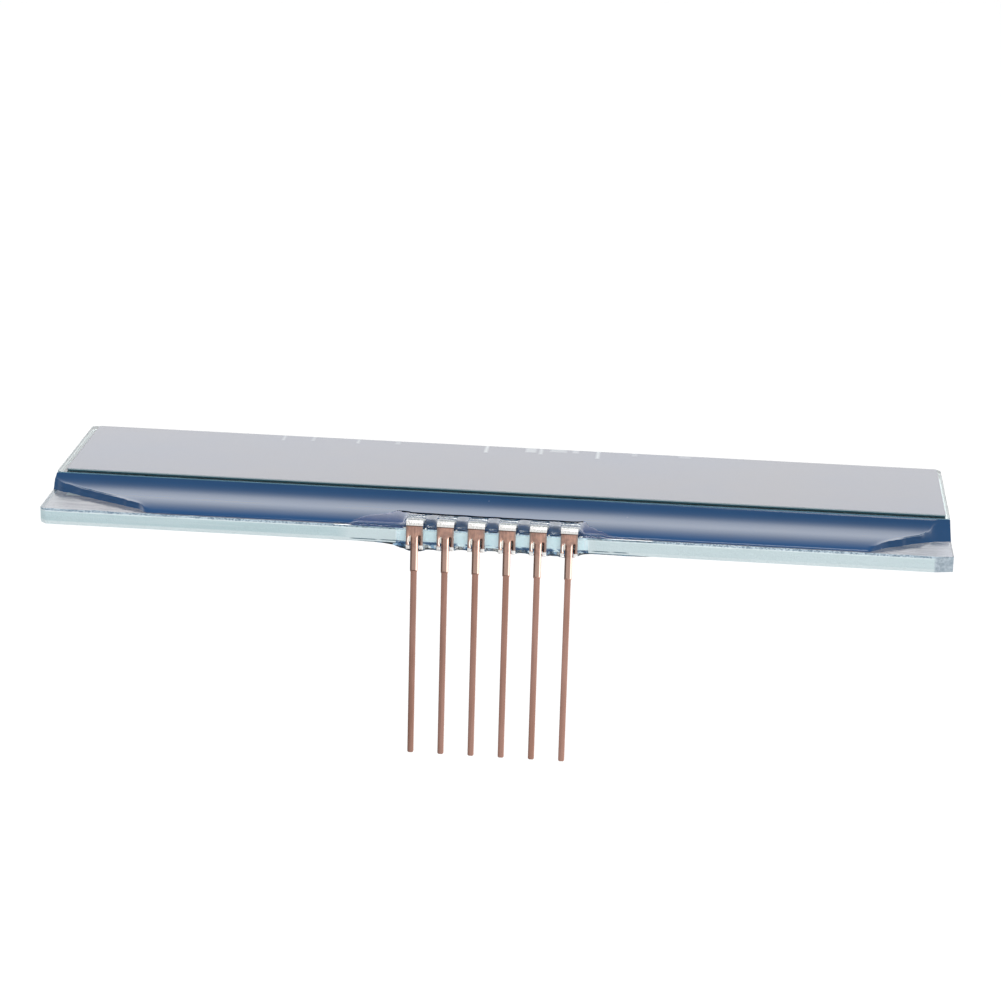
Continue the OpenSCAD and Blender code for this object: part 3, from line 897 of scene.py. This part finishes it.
# The plates' faces: clear, but hazed and streaked where the ledge lies bare; the haze is lighter at the left
# end and along the right edge, and painted shade darkens the right half as the coating's dark reflection
plateColourAndShade = {
    "tint": (0.86, 0.95, 0.95),
    "tintDeep": (0.80, 0.92, 0.93),
    "haze": (0.10, 0.10, 0.15),
    "hazeLight": (0.22, 0.22, 0.30),
    "rightShade": (0.03, 0.04, 0.07),
    "rightShadeLight": (0.12, 0.13, 0.18),
    "leftEnd": (0.40, 0.41, 0.48),
    "rightEdge": (0.16, 0.17, 0.24),
    "roughness": 0.02,
    "hazeRoughness": (0.06, 0.24),
}


def plateMaterial():
    values = plateColourAndShade
    material, tree, shader = newMaterial("plateGlass", Transmission_Weight=1.0, IOR=1.5)
    tint = drift(tree, values["tint"], values["tintDeep"], 900.0, (0.15, 1, 1.5))
    haze = drift(tree, values["haze"], values["hazeLight"], 1800.0, (0.10, 1, 1))
    rightShade = drift(tree, values["rightShade"], values["rightShadeLight"], 1800.0, (0.10, 1, 1))
    # the haze gets lighter at the left end, painted shade over the right half and a lighter right edge
    haze = paint(tree, haze, zone(tree, 3.0, x=(-beyond, leftX + 0.8)), values["leftEnd"])
    haze = paint(tree, haze, zone(tree, 4.0, x=(0, beyond)), rightShade)
    haze = paint(tree, haze, zone(tree, 1.6, x=(rightX - 0.7, beyond)), values["rightEdge"])
    ledge = zone(tree, 0.03, depth=(0.05, ledgeDepth), height=(-0.02, 1))
    scratches = streaks(tree, (0.16, 1, 1), 3200.0, 0.35, 0.70)
    rough = follow(tree, scratches, *values["hazeRoughness"])
    connect(tree, shader, Base_Color=paint(tree, tint, ledge, haze),
            Roughness=follow(tree, ledge, values["roughness"], rough),
            Normal=bump(tree, scratches, 0.02, 0.12))
    return material


# The grey film on the display face
filmColourAndHighlight = {
    "face": (0.188, 0.193, 0.226),
    "faceOther": (0.170, 0.188, 0.243),
    "edge": (0.04, 0.13, 0.17),
    # painted highlight along the upper line of the film's cut edge
    "lip": (0.55, 0.68, 0.73),  # the upper line of its cut edge
    "lipHeight": 0.09,
    "roughness": (0.18, 0.26),
    # contact marks at the far edge of the cell, as (x, width, length, share)
    "marks": [(-20.2, 0.2, 1.4, 0.35), (-17.6, 0.2, 1.2, 0.3), (-13.6, 0.2, 1.2, 0.4),
              (-10.1, 0.4, 0.9, 0.2), (-2.2, 0.25, 1.9, 0.6), (1.7, 0.9, 1.2, 0.4), (2.6, 0.25, 1.6, 0.5),
              (4.1, 1.4, 0.8, 0.3), (5.6, 0.5, 0.8, 0.3), (7.6, 0.25, 2.0, 0.6), (10.8, 0.4, 0.8, 0.2),
              (15.2, 1.0, 0.6, 0.2)],
    "mark": (0.62, 0.68, 0.70),
}


def filmMaterial():
    values = filmColourAndHighlight
    material, tree, shader = newMaterial("polarizerFilm", IOR=1.5)
    low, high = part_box("front_polarizer")
    near, far, top = (low.y - edgeY) / mm, (high.y - edgeY) / mm, (high.z - ledgeZ) / mm
    colour = drift(tree, values["face"], values["faceOther"], 60.0)
    for x, width, length, share in values["marks"]:
        mark = zone(tree, 0.22, x=(x - width / 2, x + width / 2), depth=(far - length, beyond))
        colour = paint(tree, colour, mark, values["mark"], share)
    # painted highlight along the top of the cut edge
    lip = zone(tree, 0.02, height=(top - values["lipHeight"], beyond))
    edge = paint(tree, values["edge"], lip, values["lip"])
    face = most(tree, zone(tree, 0.01, height=(top - 0.01, beyond)),
                zone(tree, 0.01, depth=(near + 0.03, beyond)))
    grain = streaks(tree, (1, 1, 1), 5000.0, 0.3, 0.7)
    connect(tree, shader, Base_Color=paint(tree, edge, face, colour),
            Roughness=follow(tree, grain, *values["roughness"]))
    return material


reflectorFinish = {
    "face": (0.50, 0.51, 0.52),
    "faceOther": (0.44, 0.45, 0.47),
    "roughness": (0.28, 0.42),
}


def reflectorMaterial():
    values = reflectorFinish
    material, tree, shader = newMaterial("reflectorFilm", Metallic=0.6)
    grain = streaks(tree, (1, 0.15, 1), 3000.0, 0.3, 0.7)
    connect(tree, shader, Base_Color=drift(tree, values["face"], values["faceOther"], 220.0),
            Roughness=follow(tree, grain, *values["roughness"]))
    return material


coatingColourAndLight = {
    "body": (0.004, 0.052, 0.150),
    "bodyOther": (0.005, 0.057, 0.162),
    # painted light: lighter along the free edge, where the bead's front takes more light
    "near": (0.008, 0.072, 0.215),  # along its free edge
    "paleSpecks": (0.5, 0.55, 0.68),
    "paleSpeckShare": 0.4,
    "roughness": (0.07, 0.13),
}


def coatingMaterial():
    values = coatingColourAndLight
    material, tree, shader = newMaterial("blueCoating", IOR=1.5)
    colour = drift(tree, values["body"], values["bodyOther"], 180.0)
    # painted light along the bead's front
    colour = paint(tree, colour, zone(tree, 1.8, depth=(-beyond, 1.0)), values["near"])
    # pale specks over the coating
    colour = paint(tree, colour, specks(tree, 1200.0, 0.05, 0.05), values["paleSpecks"], values["paleSpeckShare"])
    connect(tree, shader, Base_Color=colour,
            Roughness=follow(tree, swell(tree, 180.0), *values["roughness"]),
            Normal=bump(tree, swell(tree, 90.0, (0.4, 1, 1)), 0.02, 0.25))
    return material


glueColourAndLight = {
    "body": (0.93, 0.985, 0.99),
    "bodyOther": (0.88, 0.97, 0.98),
    "bubble": (0.35, 0.55, 0.66),
    # painted reflection: dark blue strokes of the coating seen in the belly
    "bellyReflection": (0.01, 0.10, 0.24),  # strokes in the belly that hangs below the plate
    "bellyReflectionShare": 0.95,
    "wings": [(-12, pinX[0] - 0.9), (pinX[-1] + 0.9, 12)],  # thin stretches of x beside the clips
    "wingGlow": (0.0, 0.005, 0.048),
    "rimShade": (0.002, 0.006, 0.016),
    "rimHighlight": (0.30, 0.34, 0.50),
}


def glueMaterial():
    values = glueColourAndLight
    material, tree, shader = newMaterial("pinResin", Transmission_Weight=1.0, IOR=1.46, Roughness=0.03)
    colour = drift(tree, values["body"], values["bodyOther"], 700.0)
    colour = paint(tree, colour, specks(tree, 1500.0, 0.10, 0.08), values["bubble"])
    # painted reflection: dark blue strokes in the belly below the plate
    belly = zone(tree, 0.1, height=(-beyond, underside + 0.24))
    strokes = times(tree, streaks(tree, (0.6, 1, 1.6), 1500.0, 0.45, 0.52), values["bellyReflectionShare"])
    colour = paint(tree, colour, times(tree, belly, strokes), values["bellyReflection"])
    # painted glow: faint blue emission on the thin wings beside the clips
    wings = [zone(tree, 0.3, x=span, depth=(0.4, beyond), height=(0, beyond)) for span in values["wings"]]
    connect(tree, shader, Base_Color=colour, Emission_Strength=1.0,
            Emission_Color=paint(tree, black, most(tree, *wings), values["wingGlow"]),
            Normal=bump(tree, swell(tree, 350.0), 0.01, 0.4))
    return material


# Copper sheet; its upper bend, the arms behind and the feet beside the leg are pale as tin plating, with a
# painted highlight
pinColourAndLight = {
    "leg": (0.47, 0.275, 0.225),
    "legOther": (0.40, 0.22, 0.17),
    "root": (0.50, 0.33, 0.27),
    "rootEnd": 2.15,  # below the plate
    "plate": (0.62, 0.37, 0.29),
    "plateOther": (0.40, 0.25, 0.21),
    "rim": (0.30, 0.26, 0.24),
    "rimReach": (0.55, 0.63),  # from the middle of the pin
    "rimShare": 0.75,
    "darkBand": (0.10, 0.05, 0.04),
    "line": (0.20, 0.12, 0.09),
    "lineShare": 0.20,
    # pale as tin plating with a painted highlight; tinMetal and tinDepth go with it
    "tinAndHighlight": (0.97, 0.96, 0.94),
    "tinMetal": 0.5,
    "tinDepth": -0.135,  # what lies deeper is tinned
    # painted light beside the slots: a highlight lens on the left arm, a highlight on the leg's right flank,
    # shade on the right arm
    "lens": (0.42, 0.16, 0.36),  # bright lens on the left arm: outer line, bulge and inner line
    "lensShare": 0.8,
    "flank": (0.18, 0.275),  # bright line on the right flank of the leg's root
    "flankShare": 0.30,
    "armShade": (0.36, 0.52),
    "armShadeShare": 0.8,
    "roughness": (0.20, 0.34),
}


def pinMaterial():
    values = pinColourAndLight
    material, tree, shader = newMaterial("pinCopper")
    aside = asidePins(tree)
    away = mathNode(tree, "ABSOLUTE", aside)
    outside = mathNode(tree, "GREATER_THAN", away, pinValues["rootHalf"] + 0.03)
    plate = zone(tree, 0.4, height=(underside - 0.3, beyond))
    slots = zone(tree, 0.1, height=(underside, -0.45))
    rootLow = underside - values["rootEnd"]
    colour = drift(tree, values["leg"], values["legOther"], 420.0, (1, 1, 0.35))
    colour = paint(tree, colour, zone(tree, 0.1, height=(rootLow, beyond)), values["root"])
    colour = paint(tree, colour, plate, drift(tree, values["plate"], values["plateOther"], 2600.0))
    rim = mapRange(tree, away, *values["rimReach"], 0.0, values["rimShare"])
    colour = paint(tree, colour, times(tree, rim, plate), values["rim"])
    # a dark band along the top of the plate, under the pale bend
    colour = paint(tree, colour, zone(tree, 0.05, height=(0.34, beyond)), values["darkBand"])

    # painted highlights on the left arm and the leg's right flank, painted shade on the right arm
    outer, bulge, inner = values["lens"]
    rise = mapRange(tree, split(tree, objectPlace(tree))[2], rearLow.z, ledgeZ - 0.43 * mm, -1.0, 1.0)
    width = mathNode(tree, "SUBTRACT", 1.0, times(tree, rise, rise))
    edge = mathNode(tree, "SUBTRACT", -outer, times(tree, width, bulge))
    lens = times(tree, slots, between(tree, aside, edge, -inner))
    colour = paint(tree, colour, lens, slotHighlightAndShade["light"], values["lensShare"])
    flank = times(tree, zone(tree, 0.1, height=(rootLow, -0.45)), between(tree, aside, *values["flank"]))
    colour = paint(tree, colour, flank, slotHighlightAndShade["light"], values["flankShare"])
    dark = times(tree, slots, between(tree, aside, *values["armShade"]))
    colour = paint(tree, colour, dark, slotHighlightAndShade["shade"], values["armShadeShare"])

    lines = streaks(tree, (1, 1, 0.03), 9000.0, 0.42, 0.68)
    colour = paint(tree, colour, lines, values["line"], values["lineShare"])
    # the upper bend, the feet beside the leg and the arms behind: pale as tin, with a painted highlight
    feet = zone(tree, 0.04, height=(underside - 0.60, underside + 0.02))
    tinnedAndHighlit = most(tree, zone(tree, 0.03, height=(0.42, beyond)), times(tree, feet, outside),
                  zone(tree, 0.04, depth=(values["tinDepth"], beyond)))
    colour = paint(tree, colour, tinnedAndHighlit, values["tinAndHighlight"])

    # the arms look rolled over towards the slots
    rolled = mapRange(tree, away, pinValues["rollFrom"], pinValues["rollTo"], 0.0, 1.0)
    rolled = times(tree, mathNode(tree, "POWER", rolled, 2.0), slots)
    rolled = times(tree, rolled, times(tree, outside, -1.0))
    fold = bump(tree, rolled, pinValues["rollDepth"], 1.0)
    connect(tree, shader, Base_Color=colour, Metallic=follow(tree, tinnedAndHighlit, 1.0, values["tinMetal"]),
            Roughness=follow(tree, lines, *values["roughness"]), Normal=bump(tree, lines, 0.004, 0.5, fold))
    return material


# A plain finish with a soft drift
def plainMaterial(name, colour, other, scale, roughness, **plain):
    material, tree, shader = newMaterial(name, **plain)
    connect(tree, shader, Base_Color=drift(tree, colour, other, scale),
            Roughness=follow(tree, swell(tree, scale), *roughness))
    return material


# Pieces inside the cell and under the coating, as nodes, two colours, scale, roughness and other sockets
innerFinishes = {
    "sealEpoxy": (["perimeter_seal"], (0.08, 0.14, 0.18), (0.10, 0.17, 0.21), 800.0, (0.35, 0.5), {}),
    "clearElectrode": (["segment_electrodes", "common_electrodes", "input_traces"],
                       (0.42, 0.50, 0.50), (0.36, 0.45, 0.47), 900.0, (0.1, 0.2), {}),
    "liquidCrystal": (["liquid_crystal"], (0.30, 0.33, 0.33), (0.33, 0.36, 0.36), 200.0, (0.1, 0.2),
                      {}),
    "chipSilicon": (["driver_chip"], (0.10, 0.11, 0.13), (0.13, 0.14, 0.16), 900.0, (0.15, 0.3), {}),
    "bondFilm": (["chip_bond_film"], (0.30, 0.26, 0.16), (0.25, 0.22, 0.14), 1500.0, (0.3, 0.5), {}),
    "crossoverPaste": (["crossover_dots"], (0.55, 0.54, 0.50), (0.45, 0.44, 0.42), 3000.0, (0.3, 0.5),
                       {"Metallic": 0.7}),
    "plugResin": (["fill_port_plug"], (0.66, 0.68, 0.60), (0.58, 0.62, 0.56), 600.0, (0.10, 0.2),
                  {"Subsurface_Weight": 0.2, "Subsurface_Scale": 0.001}),
}


def dressPlates():
    faceGlass, edgeGlass = plateMaterial(), edgeMaterial()
    for plate in (rearGlass, frontGlass):
        dress(plate, faceGlass, edgeGlass)
        for face in plate.data.polygons:
            face.material_index = int(abs(face.normal.z) < 0.975)


# The resin's rim gets painted shade, a dark line without gloss above the clips, and a painted highlight
# round its left wing
def dressGlue():
    resinColourAndLight = glueColourAndLight
    shadow = plainMaterial("resinShadow", resinColourAndLight["rimShade"], resinColourAndLight["rimShade"], 900.0, (0.3, 0.4),
                           Specular_IOR_Level=0.0)
    pale = plainMaterial("resinHighlight", resinColourAndLight["rimHighlight"], coatingColourAndLight["near"], 2500.0, (0.2, 0.3))
    dress(pinGlue, glueMaterial(), shadow, pale)
    for face in pinGlue.data.polygons:
        x = face.center.x / mm
        inward = lineAt(glueValues["rim"], x) - (face.center.y - edgeY) / mm
        onTop = face.normal.z > 0.6 and face.center.z > ledgeZ
        if onTop and inward < lineAt(glueValues["shadeLine"], x):
            face.material_index = 1
        elif onTop and inward < lineAt(glueValues["highlightLine"], x):
            face.material_index = 2


dressPlates()
dressGlue()
dress(ledgeCoating, coatingMaterial())
copper = pinMaterial()
for pin in clipPins:
    dress(pin, copper)
dressNode("front_polarizer", filmMaterial())
dressNode("rear_polarizer", reflectorMaterial())
for name, (nodes, *look, sockets) in innerFinishes.items():
    material = plainMaterial(name, *look, **sockets)
    for node in nodes:
        dressNode(node, material)
print("materials done")


# Studio: pale floor, soft panels and a white world that is brightest low behind the part
studioValues = {
    "floorDrop": 0.06,  # metres below the pins' tips
    "floorSize": 12,
    "floorColour": (0.80, 0.80, 0.80),
    "floorLift": 0.24,
    "floorLeft": 0.25,  # the floor as metal shows it, left, in front and right of the part
    "floorFront": 0.95,
    "floorRight": 2.6,
    "worldLight": 0.87,
    "worldSeen": 1.0,
    # brightness behind the part as metal and glass show it, as (rise, strength)
    "worldRamp": [(0.0, 2.04), (0.36, 2.10), (0.45, 1.82), (0.53, 1.32), (0.63, 0.92), (0.72, 0.64),
                  (0.88, 0.45)],
    "worldFront": 0.62,
    "panels": [
        # name, place, size, brightness as seen
        ("topPanel", (0.1, -0.1, 1.3), (0.5, 0.5), 4.5),
    ],
}


def rays(tree, *kinds):
    path = tree.nodes.new("ShaderNodeLightPath")
    seen = path.outputs[kinds[0]]
    for kind in kinds[1:]:
        seen = most(tree, seen, path.outputs[kind])
    return seen


def makeFloor():
    values = studioValues
    clearSelection()
    bpy.ops.mesh.primitive_plane_add(size=values["floorSize"], location=(0, 0, -values["floorDrop"]))
    floor = named("floor")
    material = bpy.data.materials.new("floor")
    material.use_nodes = True
    tree = material.node_tree
    tree.nodes.clear()
    base = put(tree, "ShaderNodeBsdfDiffuse", {"Color": values["floorColour"]})
    white = rays(tree, "Is Camera Ray", "Is Transmission Ray")
    lift = put(tree, "ShaderNodeEmission", {"Strength": times(tree, white, values["floorLift"])})
    plain = put(tree, "ShaderNodeAddShader", {0: base.outputs[0], 1: lift.outputs[0]})
    side = split(tree, vectorMath(tree, "NORMALIZE", objectPlace(tree)))[0]
    left = mapRange(tree, side, -0.7, -0.1, values["floorLeft"], values["floorFront"])
    right = mapRange(tree, side, 0.25, 0.8, 0.0, values["floorRight"] - values["floorFront"])
    shown = put(tree, "ShaderNodeEmission", {"Strength": mathNode(tree, "ADD", left, right)})
    glossy = rays(tree, "Is Glossy Ray")
    both = put(tree, "ShaderNodeMixShader", {0: glossy, 1: plain.outputs[0], 2: shown.outputs[0]})
    put(tree, "ShaderNodeOutputMaterial", {0: both.outputs[0]})
    dress(floor, material)


def makeWorld():
    values = studioValues
    world = bpy.context.scene.world or bpy.data.worlds.new("studio")
    bpy.context.scene.world = world
    world.use_nodes = True
    tree = world.node_tree
    tree.nodes.clear()
    parts = split(tree, put(tree, "ShaderNodeTexCoord").outputs["Generated"])
    rise = values["worldRamp"][0][1]
    for (low, start), (high, end) in zip(values["worldRamp"], values["worldRamp"][1:]):
        step = mapRange(tree, parts["Z"], low, high, 0.0, end - start)
        rise = mathNode(tree, "ADD", rise, step)
    behind = mapRange(tree, parts["Y"], -0.25, 0.35, 0.0, 1.0)
    front = follow(tree, behind, values["worldFront"], 0.0)
    shown = mathNode(tree, "ADD", times(tree, rise, behind), front)
    white = rays(tree, "Is Camera Ray", "Is Transmission Ray")
    plain = follow(tree, white, values["worldLight"], values["worldSeen"])
    glossy = times(tree, rays(tree, "Is Glossy Ray"), mathNode(tree, "SUBTRACT", 1.0, white))
    difference = mathNode(tree, "SUBTRACT", shown, plain)
    strength = mathNode(tree, "ADD", plain, times(tree, glossy, difference))
    back = put(tree, "ShaderNodeBackground", {"Color": (1, 1, 1), "Strength": strength})
    put(tree, "ShaderNodeOutputWorld", {0: back.outputs[0]})


def makePanel(name, place, size, brightness):
    clearSelection()
    aim = Vector((0, 0.01, 0.02)) - Vector(place)
    bpy.ops.object.light_add(type="AREA", location=place, rotation=aim.to_track_quat("-Z", "Y").to_euler())
    lamp = named(name)
    lamp.data.shape = "RECTANGLE"
    lamp.data.size, lamp.data.size_y = size
    lamp.data.energy = brightness * math.pi * size[0] * size[1]
    lamp.visible_camera = False


# Camera at the photograph's angle
cameraValues = {
    "azimuth": 4.5203,
    "elevation": 18.3052,
    "roll": 1.649,
    "distance": 236.4525,
    "target": (-0.0184, 8.275, 19.8917),
    "focalPixels": 2800,
    "imagePixels": 1001,
    "sensor": 36,
}


def makeCamera():
    values = cameraValues
    azimuth, elevation, roll = (math.radians(values[key]) for key in ("azimuth", "elevation", "roll"))
    back = Vector((math.sin(azimuth) * math.cos(elevation), -math.cos(azimuth) * math.cos(elevation),
                   math.sin(elevation)))
    level = (-back).cross(Vector((0, 0, 1))).normalized()
    rise = level.cross(-back)
    right = math.cos(roll) * level + math.sin(roll) * rise
    up = math.cos(roll) * rise - math.sin(roll) * level
    clearSelection()
    bpy.ops.object.camera_add()
    camera = named("camera")
    camera.data.sensor_width = values["sensor"]
    camera.data.lens = values["focalPixels"] * values["sensor"] / values["imagePixels"]
    camera.data.clip_start = 0.01
    turn = Matrix((right, up, back)).transposed().to_4x4()
    place = Vector(values["target"]) * mm + back * values["distance"] * mm
    camera.matrix_world = Matrix.Translation(place) @ turn
    bpy.context.scene.camera = camera


makeFloor()
makeWorld()
for panel in studioValues["panels"]:
    makePanel(*panel)
makeCamera()
bpy.context.scene.view_settings.view_transform = "Standard"
print("studio done")
